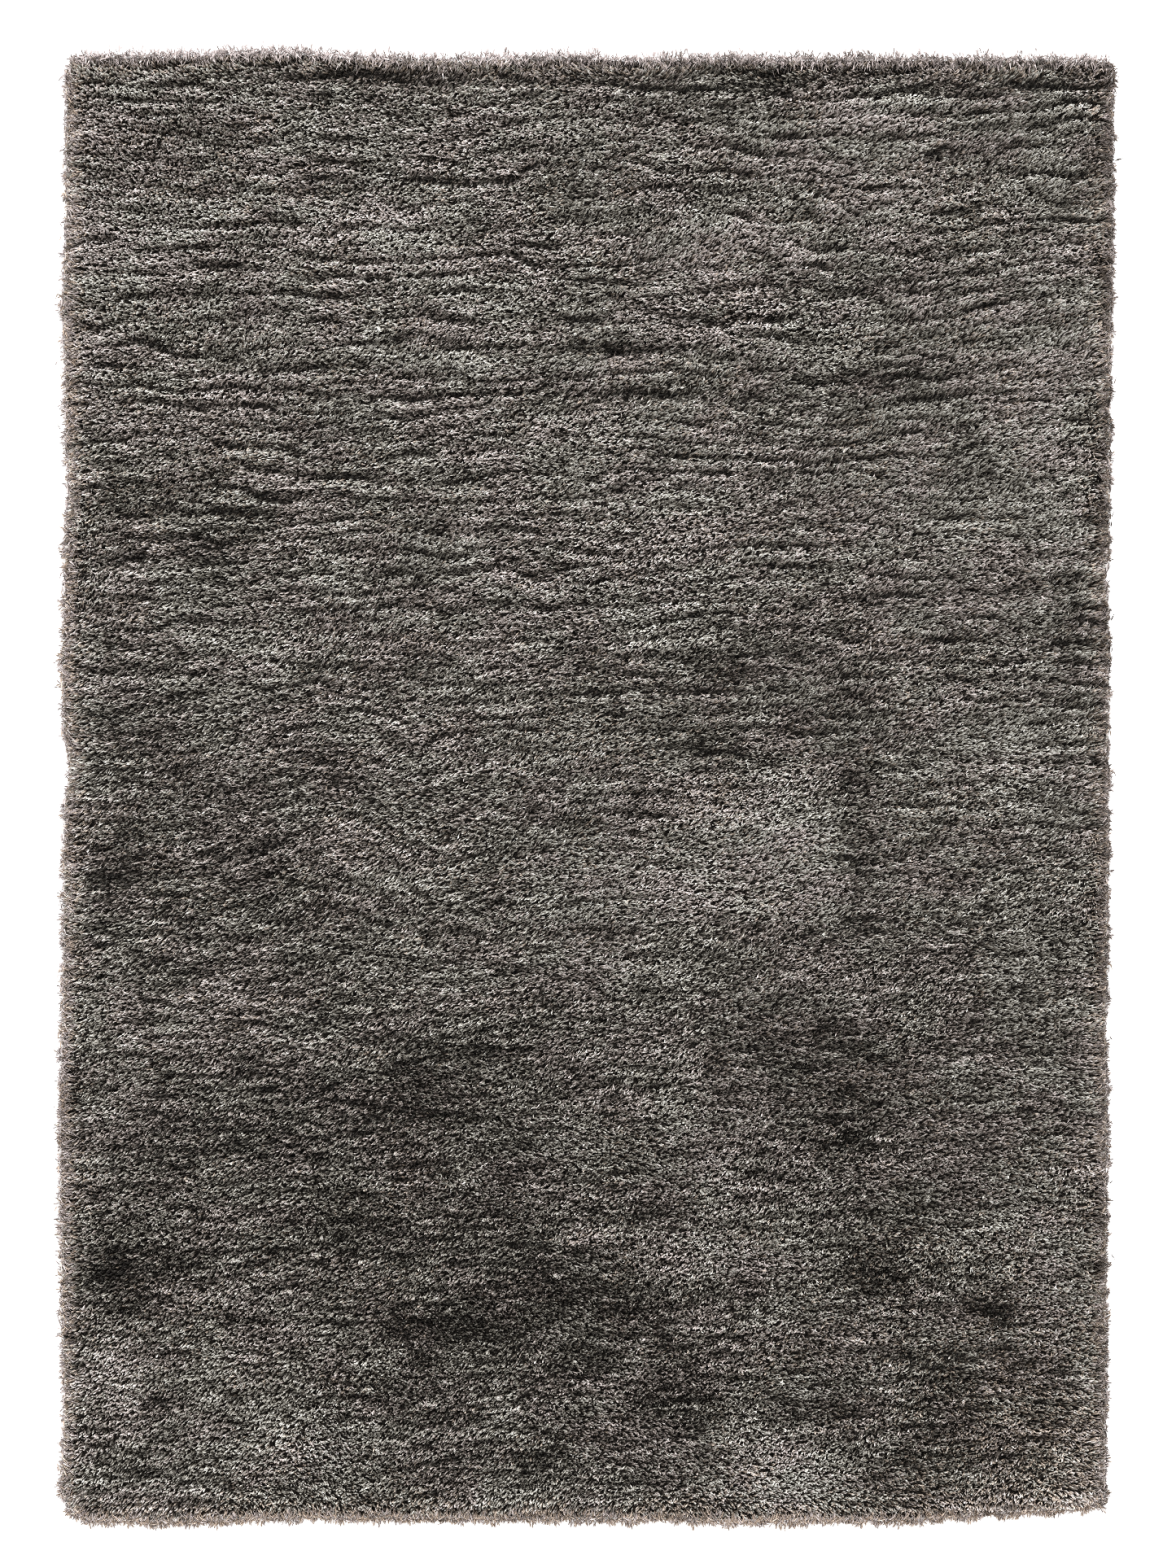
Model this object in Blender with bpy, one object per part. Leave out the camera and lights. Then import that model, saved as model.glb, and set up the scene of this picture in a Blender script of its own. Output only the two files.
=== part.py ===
"""Shag rug: a deep, uneven pile on a flat ground, with locks of yarn all round its rim.

Metres, +Z up. The rug lies flat on Z = 0, its width along X and its length along Y.
"""

from collections import namedtuple
import math

import bmesh
import bpy
from mathutils import Vector, noise

# ---- Driving dimensions, metres ----
GROUND_WIDTH = 1.70  # across the woven ground that the pile stands on
GROUND_LENGTH = 2.40  # along it
PILE_OVERHANG = 0.030  # how far the pile's tips lie out past the ground, on average
PILE_HEIGHT = 0.030  # the laid pile, away from its furrows and its rim
RIM_HEIGHT = 0.017  # the pile where its locks turn down to the floor
ROLL_OFF = 0.055  # strip along the rim over which the pile falls to that height

LOCK_REACH = 0.029  # how far a lock lies out from the body of the pile
LOCK_UNEVEN = 0.018  # most that this varies from lock to lock
LOCK_LEAN = 0.012  # most that a lock's tip lies aside
LOCK_BELLY_AT = 0.48  # where a lock is widest, as a share of its reach
LOCK_BELLY_WIDTH = 1.25  # its width there, as a share of its root's
LOCK_BELLY_HEIGHT = 0.72  # its height there, as a share of its root's
LOCK_FAN = 0.060  # radius over which the locks fan out round a corner

# ---- How finely the surface is drawn ----
ROWS = 150  # steps along the rug, about 16 mm each, fine enough for its ripples
COLUMNS = 20  # steps across it, wide because the ripples run across
COLUMN_CROWDING = 0.40  # 0 spaces the columns evenly, more crowds them at the sides

# ---- Ripples that the pile is combed into, across the rug ----
RIPPLE_PITCH = 0.047  # from one crest to the next
RIPPLE_DEPTH = 0.0040  # half the height from trough to crest where they are strongest
RIPPLE_START = 1.00  # Y above which they are at full strength
RIPPLE_END = -0.70  # Y below which they are weakest
RIPPLE_WEAKEST = 0.35  # their strength there, as a share
SWELL_HEIGHT = 0.0040  # broad swells over the whole pile
SWELL_SIZE = 0.30  # size of one swell

# A furrow is a parting in the pile, with a low ridge along its lower side.
FURROW_HALF_WIDTH = 0.013
RIDGE_AWAY = 0.026  # from the furrow's bottom to the ridge's crest
RIDGE_HALF_WIDTH = 0.016
RIDGE_SHARE = 0.45  # the ridge's height as a share of the furrow's depth
FURROW_FADE = 0.060  # length over which a furrow runs out at its ends

Furrow = namedtuple("Furrow", "x_from y_from x_to y_to bow depth")
FURROWS = [
    Furrow(-0.76, 1.08, -0.38, 1.08, 0.000, 0.006),
    Furrow(-0.75, 1.00, -0.49, 1.00, 0.000, 0.007),
    Furrow(-0.48, 1.00, -0.03, 1.00, 0.006, 0.008),
    Furrow(-0.10, 0.95, 0.12, 0.96, 0.000, 0.006),
    Furrow(-0.83, 0.87, -0.53, 0.89, 0.006, 0.006),
    Furrow(0.18, 0.83, 0.31, 0.85, 0.000, 0.007),
    Furrow(0.41, 0.82, 0.56, 0.84, 0.000, 0.007),
    Furrow(-0.78, 0.72, -0.53, 0.73, 0.000, 0.008),
    Furrow(-0.23, 0.74, 0.15, 0.73, 0.004, 0.009),
    Furrow(-0.04, 0.78, 0.19, 0.78, 0.010, 0.007),
    Furrow(-0.66, 0.63, -0.24, 0.65, 0.012, 0.008),
    Furrow(-0.18, 0.67, 0.31, 0.65, 0.000, 0.009),
    Furrow(0.43, 0.68, 0.72, 0.71, 0.000, 0.008),
    Furrow(-0.83, 0.56, -0.63, 0.58, 0.000, 0.007),
    Furrow(-0.44, 0.52, -0.19, 0.52, 0.000, 0.007),
    Furrow(-0.83, 0.45, -0.56, 0.46, 0.000, 0.008),
    Furrow(-0.83, 0.37, -0.63, 0.40, 0.000, 0.007),
    Furrow(-0.22, 0.42, -0.03, 0.44, 0.000, 0.006),
    Furrow(0.38, 0.31, 0.78, 0.34, -0.006, 0.008),
    Furrow(-0.27, 0.21, 0.00, 0.29, 0.000, 0.006),
    Furrow(-0.11, 0.16, 0.25, 0.17, -0.008, 0.007),
    Furrow(0.25, 0.17, 0.38, 0.31, 0.000, 0.006),
    Furrow(-0.81, 0.12, -0.60, 0.17, 0.000, 0.007),
    Furrow(0.10, 0.07, 0.29, 0.08, 0.000, 0.005),
    Furrow(-0.83, -0.16, -0.66, -0.15, 0.000, 0.008),
    Furrow(-0.62, -0.12, -0.49, 0.00, 0.000, 0.005),
    Furrow(-0.40, -0.10, -0.22, -0.23, 0.000, 0.005),
    Furrow(-0.11, -0.24, 0.49, -0.23, 0.000, 0.007),
    Furrow(0.445, 0.18, 0.455, -0.25, 0.000, 0.006),
    Furrow(-0.40, -0.43, -0.10, -0.45, 0.000, 0.006),
    Furrow(0.49, -0.44, 0.85, -0.44, 0.000, 0.005),
    Furrow(0.00, -0.73, 0.15, -0.72, 0.000, 0.006),
    Furrow(0.27, -0.73, 0.47, -0.71, 0.000, 0.006),
    Furrow(0.52, -0.95, 0.70, -0.94, 0.000, 0.007),
]

# Where a side bulges out of true, or is drawn in. Along is X or Y, and out is outwards.
Swell = namedtuple("Swell", "side along half_length out")
SIDE_SWELLS = [
    Swell("left", 0.81, 0.13, 0.004),
    Swell("left", 0.51, 0.11, -0.007),
    Swell("left", 0.23, 0.16, 0.004),
    Swell("left", 0.03, 0.08, -0.010),
    Swell("left", -0.55, 0.30, 0.004),
    Swell("left", -1.04, 0.16, -0.005),
    Swell("right", 1.05, 0.45, 0.004),
    Swell("right", 0.35, 0.06, -0.007),
    Swell("right", -0.42, 0.14, -0.003),
    Swell("top", -0.55, 0.19, 0.008),
    Swell("top", -0.25, 0.15, -0.005),
    Swell("top", 0.10, 0.10, -0.004),
    Swell("bottom", -0.71, 0.26, 0.008),
    Swell("bottom", 0.26, 0.18, 0.003),
    Swell("bottom", 0.85, 0.35, -0.019),
]

# How round each corner lies, from which side of X and of Y it is on.
CORNER_RADII = {(-1, 1): 0.034, (1, 1): 0.018, (-1, -1): 0.055, (1, -1): 0.052}

# ---- Worked out from the dimensions ----
BODY_OUT = PILE_OVERHANG - LOCK_REACH  # the body of the pile past the ground's edge
HALF_WIDTH = GROUND_WIDTH / 2 + BODY_OUT
HALF_LENGTH = GROUND_LENGTH / 2 + BODY_OUT
LOCK_STEP = 2 * HALF_LENGTH / ROWS  # width of a lock's root, and of the gap beside it


def soft_bump(distance):
    """1 at distance 0, falling smoothly to 0 at distance 1."""
    if abs(distance) >= 1:
        return 0.0
    return 0.5 + 0.5 * math.cos(math.pi * distance)


def side_out(side, along):
    """How far a side of the rug lies out of true at one place along it."""
    rows = [row for row in SIDE_SWELLS if row.side == side]
    return sum(row.out * soft_bump((along - row.along) / row.half_length) for row in rows)


def round_corner(x, y):
    """Draw a point near a corner of the rug in to the corner's arc."""
    corner = (1 if x > 0 else -1, 1 if y > 0 else -1)
    radius = CORNER_RADII[corner]
    from_x = abs(x) - (HALF_WIDTH - radius)
    from_y = abs(y) - (HALF_LENGTH - radius)
    if from_x <= 0 or from_y <= 0:
        return x, y
    shrink = max(from_x, from_y) / math.hypot(from_x, from_y)
    rounded_x = HALF_WIDTH - radius + from_x * shrink
    rounded_y = HALF_LENGTH - radius + from_y * shrink
    return corner[0] * rounded_x, corner[1] * rounded_y


def place_on_rug(across, along):
    """Take a grid point, -1 to 1 both ways, to its place inside the rug's uneven outline."""
    across = (1 + COLUMN_CROWDING) * across - COLUMN_CROWDING * across**3
    true_x, true_y = across * HALF_WIDTH, along * HALF_LENGTH
    right = side_out("right", true_y) * (1 + across) / 2
    left = side_out("left", true_y) * (1 - across) / 2
    top = side_out("top", true_x) * (1 + along) / 2
    bottom = side_out("bottom", true_x) * (1 - along) / 2
    return round_corner(true_x + right - left, true_y + top - bottom)


def furrow_height(furrow, x, y):
    """What one furrow and its ridge add to the pile's height at a point."""
    start = Vector((furrow.x_from, furrow.y_from))
    run = Vector((furrow.x_to, furrow.y_to)) - start
    length = run.length
    run.normalize()
    away = Vector((x, y)) - start
    along = away.dot(run)
    share = min(max(along / length, 0.0), 1.0)
    past_end = max(-along, along - length, 0.0)
    below = away.x * run.y - away.y * run.x + furrow.bow * math.sin(math.pi * share)
    trough = -soft_bump(below / (2 * FURROW_HALF_WIDTH))
    ridge = RIDGE_SHARE * soft_bump((below - RIDGE_AWAY) / (2 * RIDGE_HALF_WIDTH))
    return furrow.depth * (trough + ridge) * soft_bump(past_end / FURROW_FADE)


def ripple_height(x, y):
    """Height of the combed ripples, strongest at the rug's upper end."""
    share = min(max((y - RIPPLE_END) / (RIPPLE_START - RIPPLE_END), 0.0), 1.0)
    strength = RIPPLE_WEAKEST + (1 - RIPPLE_WEAKEST) * share
    wander = 2.2 * noise.noise(Vector((x * 2.2, y * 2.6, 1.0)))
    waves = math.sin(2 * math.pi * y / RIPPLE_PITCH + math.pi * wander)
    breaks = 0.5 + 0.9 * noise.noise(Vector((x * 4.5, y * 14.0, 5.0)))
    return RIPPLE_DEPTH * strength * waves * min(max(breaks, 0.0), 1.0)


def pile_height(x, y):
    """Height of the pile's surface over the floor."""
    inside = min(HALF_WIDTH - abs(x), HALF_LENGTH - abs(y))
    share = min(max(inside / ROLL_OFF, 0.0), 1.0)
    full = math.sin(math.pi / 2 * share)
    height = PILE_HEIGHT + ripple_height(x, y)
    height += SWELL_HEIGHT * noise.noise(Vector((x, y, 3.0)) / SWELL_SIZE)
    height += sum(furrow_height(furrow, x, y) for furrow in FURROWS)
    return RIM_HEIGHT + (height - RIM_HEIGHT) * full


def split_short_sides(bm):
    """Cut the grid's end edges into steps as short as those of its long sides."""
    groups = {}
    for edge in bm.edges:
        if not edge.is_boundary or abs(edge.verts[0].co.y - edge.verts[1].co.y) > 1e-6:
            continue
        ends = [place_on_rug(vert.co.x, vert.co.y) for vert in edge.verts]
        cuts = round(math.dist(*ends) / LOCK_STEP) - 1
        if cuts > 0:
            groups.setdefault(cuts, []).append(edge)
    for cuts, edges in sorted(groups.items()):
        bmesh.ops.subdivide_edges(bm, edges=edges, cuts=cuts)


def grow_lock(bm, root, number):
    """Grow a lock of yarn from a face of the rim, lying out level on the floor."""
    center = root.calc_center_median()
    inner_x = min(max(center.x, LOCK_FAN - HALF_WIDTH), HALF_WIDTH - LOCK_FAN)
    inner_y = min(max(center.y, LOCK_FAN - HALF_LENGTH), HALF_LENGTH - LOCK_FAN)
    out = Vector((center.x - inner_x, center.y - inner_y, 0.0)).normalized()
    aside = Vector((-out.y, out.x, 0.0))
    reach = LOCK_REACH + LOCK_UNEVEN * noise.noise(Vector((number * 0.77, 0.2, 0.6)))
    lean = LOCK_LEAN * noise.noise(Vector((number * 0.63, 4.1, 0.4)))
    belly = bmesh.ops.extrude_discrete_faces(bm, faces=[root])["faces"][0]
    for vert in belly.verts:
        sideways = (vert.co - center).dot(aside) * (LOCK_BELLY_WIDTH - 1)
        vert.co += out * reach * LOCK_BELLY_AT + aside * sideways
        vert.co.z *= LOCK_BELLY_HEIGHT
    tip = bmesh.ops.poke(bm, faces=[belly])["verts"][0]
    tip.co = center + out * reach + aside * lean
    tip.co.z = 0.0


def build_rug():
    """One solid: a lumpy slab with a flat underside, and locks round its rim."""
    bm = bmesh.new()
    bmesh.ops.create_grid(bm, x_segments=COLUMNS, y_segments=ROWS, size=1.0)
    split_short_sides(bm)
    for vert in bm.verts:
        vert.co.x, vert.co.y = place_on_rug(vert.co.x, vert.co.y)
        vert.co.z = pile_height(vert.co.x, vert.co.y)

    rim = [edge for edge in bm.edges if edge.is_boundary]
    grown = bmesh.ops.extrude_edge_only(bm, edges=rim)["geom"]
    for vert in (item for item in grown if isinstance(item, bmesh.types.BMVert)):
        vert.co.z = 0.0
    walls = [item for item in grown if isinstance(item, bmesh.types.BMFace)]
    floor_edges = [edge for edge in bm.edges if edge.is_boundary]
    bmesh.ops.edgeloop_fill(bm, edges=floor_edges)
    bmesh.ops.recalc_face_normals(bm, faces=bm.faces)

    walls.sort(key=lambda wall: math.atan2(*wall.calc_center_median().yx))
    for number, root in enumerate(walls[::2]):
        grow_lock(bm, root, number)

    low = Vector([min(vert.co[axis] for vert in bm.verts) for axis in range(3)])
    high = Vector([max(vert.co[axis] for vert in bm.verts) for axis in range(3)])
    middle = (low + high) / 2
    bmesh.ops.translate(bm, vec=(-middle.x, -middle.y, 0.0), verts=bm.verts)
    bmesh.ops.triangulate(bm, faces=bm.faces)
    bmesh.ops.recalc_face_normals(bm, faces=bm.faces)
    mesh = bpy.data.meshes.new("shag_rug")
    bm.to_mesh(mesh)
    bm.free()
    return bpy.data.objects.new("shag_rug", mesh)


def grey_pile_yarn():
    """Grey yarn, dull and rough."""
    material = bpy.data.materials.new("grey_pile_yarn")
    material.use_nodes = True
    shader = material.node_tree.nodes["Principled BSDF"]
    shader.inputs["Base Color"].default_value = (0.19, 0.18, 0.165, 1.0)
    shader.inputs["Roughness"].default_value = 0.95
    shader.inputs["Metallic"].default_value = 0.0
    return material


def main():
    for leftover in list(bpy.data.objects):
        bpy.data.objects.remove(leftover, do_unlink=True)
    collection = bpy.data.collections.new("shag rug")
    bpy.context.scene.collection.children.link(collection)
    rug = build_rug()
    rug.data.materials.append(grey_pile_yarn())
    collection.objects.link(rug)


main()
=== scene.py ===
"""A shag rug lying flat: tufts of glossy grey yarn in a woven ground, seen from above.

Metres, +Z up, the rug's width along X and its length along Y, as in the frame.
"""

from collections import namedtuple
import math

import bmesh
import bpy
import numpy as np
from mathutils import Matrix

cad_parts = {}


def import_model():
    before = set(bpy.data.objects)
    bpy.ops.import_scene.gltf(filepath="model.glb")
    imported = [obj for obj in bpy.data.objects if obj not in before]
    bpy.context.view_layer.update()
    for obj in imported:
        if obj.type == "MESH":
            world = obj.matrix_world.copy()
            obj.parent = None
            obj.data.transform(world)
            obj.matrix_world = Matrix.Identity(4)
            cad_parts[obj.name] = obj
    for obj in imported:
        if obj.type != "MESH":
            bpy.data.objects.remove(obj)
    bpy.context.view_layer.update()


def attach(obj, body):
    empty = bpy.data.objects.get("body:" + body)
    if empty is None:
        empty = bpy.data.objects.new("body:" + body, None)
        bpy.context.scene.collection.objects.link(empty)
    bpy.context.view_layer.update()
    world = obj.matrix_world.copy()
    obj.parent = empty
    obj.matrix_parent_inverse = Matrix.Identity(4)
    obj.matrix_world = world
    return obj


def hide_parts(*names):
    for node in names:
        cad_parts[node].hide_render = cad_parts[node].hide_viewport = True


NODE = "shag_rug"
BODY = "root"
PILE_SEED, RIM_SEED = 5, 9
TINY = 1e-9  # keeps a division by a length from failing where that length is 0

# Unevenness of one kind: its height up and down, the size of its hills along X and Y, its seed.
Unevenness = namedtuple("Unevenness", "height size_x size_y seed")

# A spot where something is at its most, and how much that is.
Spot = namedtuple("Spot", "x y half_width half_length most")

# ---- The rug's sizes ----
GROUND_WIDTH = 1.70  # across the woven ground
GROUND_LENGTH = 2.40  # along it
GROUND_THICKNESS = 0.0024
GROUND_COLUMNS, GROUND_ROWS = 17, 24
PILE_OVERHANG = 0.030  # the pile's tips past the ground's edge, on average
PILE_HEIGHT = 0.030  # the laid pile, away from its furrows and its rim
RIM_HEIGHT = 0.016  # the pile where its outer tufts turn down to the floor
ROLL_OFF = 0.055  # strip along the rim over which it falls to that height
HALF_WIDTH = GROUND_WIDTH / 2 + PILE_OVERHANG
HALF_LENGTH = GROUND_LENGTH / 2 + PILE_OVERHANG
LOWEST_YARN = 0.0004  # all yarn stays this far over the floor

# ---- The matted foot of the pile ----
FOOT_SHARE = 0.45  # its height, as a share of the pile's
FOOT_TAPER = 0.045  # strip along the rim over which it runs out thin
FOOT_EDGE_TOP = GROUND_THICKNESS + 0.0010
FOOT_BOTTOM = GROUND_THICKNESS + 0.0004
# It stays a little inside the pile's rim.
FOOT_HALF_WIDTH, FOOT_HALF_LENGTH = HALF_WIDTH - 0.004, HALF_LENGTH - 0.003
FOOT_COLUMNS, FOOT_ROWS = 90, 135

# ---- The tufts ----
TUFT_PITCH = 0.0032  # from one tuft to the next
TUFT_BED = 0.003  # how deep a tuft is rooted in the matted foot
TUFT_LOWEST_ROOT, TUFT_LOWEST_TIP = 0.001, 0.008
TUFT_LEAN = 0.0125  # how far a tuft's tip lies from over its root
TUFT_LEAN_SHARES = (0.45, 1.35)  # the least and the most of that
TUFT_TURN = math.radians(20)  # how unevenly neighbouring tufts lie
TUFT_ARCH = 0.10  # how far a tuft arches up, as a share of its lean
TUFT_RAGGED = 0.0016  # how unevenly high their tips stand
BAND_COUNT = 5  # the pile is made in this many pieces, from the top of the rug down

# Neighbouring tips draw together into clumps.
CLUMPS = Unevenness(1.0, 0.010, 0.005, 51)
CLUMP_DRAW = 0.0012  # how far they draw together
CLUMP_RISE = 0.0015  # how much higher a clump's middle stands

# The line that the nap lies along runs across the rug and up to the right. Tufts lie along it
# to the right or to the left.
LAY_ANGLE = 0.40
LAY_UNEVEN = Unevenness(0.25, 0.10, 0.05, 22)
TO_RIGHT, TO_RIGHT_SWING = 0.5, 0.45  # the share of tufts to the right, and how far it swings
TO_RIGHT_UNEVEN = Unevenness(1.6, 0.14, 0.10, 21)

# Tufts stand more upright at the rug's upper left corner and towards its lower end.
UPRIGHT_CORNER = Spot(-0.9, 1.1, 0.45, 0.40, 0.8)
UPRIGHT_LOW_END = 0.5  # how upright they are at the lower end
UPRIGHT_FROM = -0.25  # Y from which they rise to that
UPRIGHT_FADE = 0.5  # length over which they do
UPRIGHT_TURN = 0.6  # how much more unevenly they lie
UPRIGHT_LEAN = 0.35  # how much less they lean
UPRIGHT_THICKNESS = 0.35  # how much more of their cut tips shows
UPRIGHT_TONE = 0.06  # how much lighter they look
UPRIGHT_EVENNESS = 0.30  # how much more evenly light they are

# ---- The yarn ----
YARN_THICKNESS = 0.0025  # a twisted yarn's tip, opened by wear
YARN_THICKNESS_SHARES = (0.75, 1.3)  # the least and the most of that
YARN_FULLNESS = 0.18  # how much thicker it is at the rug's upper end
YARN_ROLL = 0.5  # how unevenly the ends are turned about their length
# An end's corners: how far along it, across it and above its line, in half thicknesses, and how
# far into its neighbours' painted shade, which darkens its sides and foot. It swells towards its
# cut tip, and its ridge is on top.
YARN_END = [
    (0.00, 0.0, 0.0, 0.00),
    (0.74, -1.0, -0.8, 0.30),
    (0.74, 1.0, -0.8, 0.30),
    (1.00, 0.0, 0.0, 1.00),
]

# ---- The strands of yarn that hang over the ground's edge ----
RIM_STRANDS = 21000
RIM_THICKNESS = 0.0023
RIM_THICKNESS_SHARES = (0.7, 1.3)
RIM_LENGTH = 0.016
RIM_LENGTH_SHARES = (0.6, 1.1)
RIM_STRIP = 0.010  # strip along the rim where only strands lie
RIM_SPLAY = 0.008  # how far the outermost tufts splay out over it
RIM_SPLAY_STRIP = 0.04  # strip of the pile inside it where they do
RIM_TIP_INSET = 0.003  # how far inside the rim their tips stay
RIM_FAN = 0.08  # radius over which the strands fan out round a corner
RIM_TURN = 0.60  # how unevenly they point out, as an angle
RIM_PAST = 0.0045  # how far they reach past the pile's overhang
RIM_DRAWN_BACK = 0.016  # how much less far those on top of the pile's rim reach
RIM_RAGGED_LIMITS = (-2.5, 1.7)  # the shortest and the longest, in steps of a side's raggedness
# The height of their tips and roots, for those lowest on the floor, and how much higher it is for
# those on top of the pile's rim.
RIM_TIP_FLOOR, RIM_TIP_LIFT = 0.0015, 0.013
RIM_ROOT_FLOOR, RIM_ROOT_LIFT = 0.003, 0.020
RIM_TIP_RAGGED = 0.002  # how unevenly high their tips are
RIM_ARCH, RIM_ARCH_UNEVEN = 0.004, 0.006  # how far they arch up at least, and how much more
RIM_CLUMPS = Unevenness(0.0065, 0.011, 0.03, 62)  # how unevenly far they reach as clumps
RIM_CLUMP_TURNS = Unevenness(0.5, 0.011, 0.03, 63)  # how unevenly those point out

# Each side's strands: how light they are, how much further they reach than the rest, how
# unevenly, and how many of them are beige.
RimSide = namedtuple("RimSide", "side tone reach ragged beige")
RIM_SIDES = [
    RimSide("left", 1.06, -0.0030, 0.0050, 0.25),
    RimSide("right", 0.72, -0.0006, 0.0022, 0.20),
    RimSide("top", 0.99, 0.0034, 0.0054, 0.00),
    RimSide("bottom", 1.10, 0.0050, 0.0024, 0.60),
]
LEFT, RIGHT, TOP, BOTTOM = range(len(RIM_SIDES))

# ---- How light the yarn is, from 0 at its darkest shade to 1 at its palest ----
TONE_MIDDLE = 0.610
TONE_UNEVEN = 0.16  # from tuft to tuft
TONE_CLUMPS = Unevenness(0.30, 0.0090, 0.0036, 35)  # from clump to clump
TONE_CLOUDS = Unevenness(0.08, 0.09, 0.05, 31)  # broadly
TONE_STREAKS = Unevenness(0.10, 0.050, 0.010, 32)  # along the ripples
TONE_MOTTLE = Unevenness(0.09, 0.045, 0.028, 33)  # towards the rug's lower end
TONE_MOTTLE_FROM = 0.5  # Y from which the mottle grows down the rug
TONE_PATCHES = 0.45  # for a patch or a panel of tone 1
PAINTED_LIGHT_CREST = 0.14  # painted light on a ripple's crest, painted shade in its trough
PAINTED_LIGHT_FACING = 0.36  # painted light on a ripple's side that faces the light, painted shade on the side turned away
PAINTED_SHADE_FURROWS = 16.0  # painted shade in the furrows and painted light on their ridges, for each metre of their height
TONE_UP_RUG = 0.05  # at the rug's upper end, and as much darker at its lower one
TONE_RIM_STRIP = 0.10  # in a strip along its flanks and lower end
TONE_RIM_STRIP_AWAY, TONE_RIM_STRIP_HALF_WIDTH = 0.035, 0.04
RIM_TONE_UNEVEN = 0.12
RIM_TONE_FLOOR, RIM_TONE_TOP = 0.06, -0.06  # for strands on the floor and on top of the rim
# The share of the nap's tone and its painted light and shade that the lowest strands have, and
# how much more the highest have.
RIM_NAP_AND_LIGHT_FLOOR, RIM_NAP_AND_LIGHT_GAIN = 0.3, 0.8

# How far into the pile's painted shade the yarn reaches, as a share of it.
PILE_SHADE = 1.0
RIM_SHADE = 0.45

# ---- The melange's hues, as shares of the tufts ----
ROSY_SHARE = 0.5
ROSY_UNEVEN = Unevenness(0.9, 0.07, 0.04, 71)
GREY_SHARE = 0.25
BEIGE_SHARE = 0.5  # where the pile is warmest
WARM_RIM = 0.05  # strip along the rim where it is warm
WARM_CORNER = Spot(0.85, -1.20, 0.35, 0.30, 0.8)
WARM_UNEVEN = Unevenness(0.3, 0.06, 0.05, 73)

# ---- Ripples that the pile is combed into ----
RIPPLE_PITCH = 0.032  # from one to the next, halfway along the rug
RIPPLE_WIDENING = 0.25  # how much more that is, for each metre up the rug
RIPPLE_WANDER = Unevenness(4.5, 0.34, 0.10, 11)  # off a straight line, as an angle of their wave
RIPPLE_WAVER = Unevenness(2.7, 0.075, 0.04, 12)
RIPPLE_DEPTH = 0.0052
RIPPLE_START = 0.60  # Y above which they are at full strength
RIPPLE_END = -0.30  # Y below which they are weakest
RIPPLE_WEAKEST = 0.35
RIPPLE_USUAL = 0.62  # their usual share of that strength
RIPPLE_BREAKS = Unevenness(1.15, 0.055, 0.022, 13)  # how it varies along them
RIPPLE_LIMITS = (0.05, 1.5)  # the least and the most of it
# They are round rolls with sharp troughs: how low the troughs lie, how far the crests rise over
# them, and how sharp they are.
RIPPLE_TROUGH, RIPPLE_ROLL, RIPPLE_SHARPNESS = -1.7, 2.4, 0.7
RIPPLE_CRUMBS = Unevenness(0.8, 0.045, 0.010, 14)  # short wrinkles between them

# They are fainter in a strip across the rug, and so is its mottle.
FAINT_Y, FAINT_HALF_LENGTH, FAINT_SHARE = -0.76, 0.24, 0.40

# A furrow is a parting in the pile, with a low ridge along its lower side.
FURROW_HALF_WIDTH = 0.011
RIDGE_AWAY = 0.022
RIDGE_HALF_WIDTH = 0.015
RIDGE_SHARE = 0.45
FURROW_FADE = 0.060
FURROW_WAVER = Unevenness(0.006, 0.05, 0.3, 41)

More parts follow.
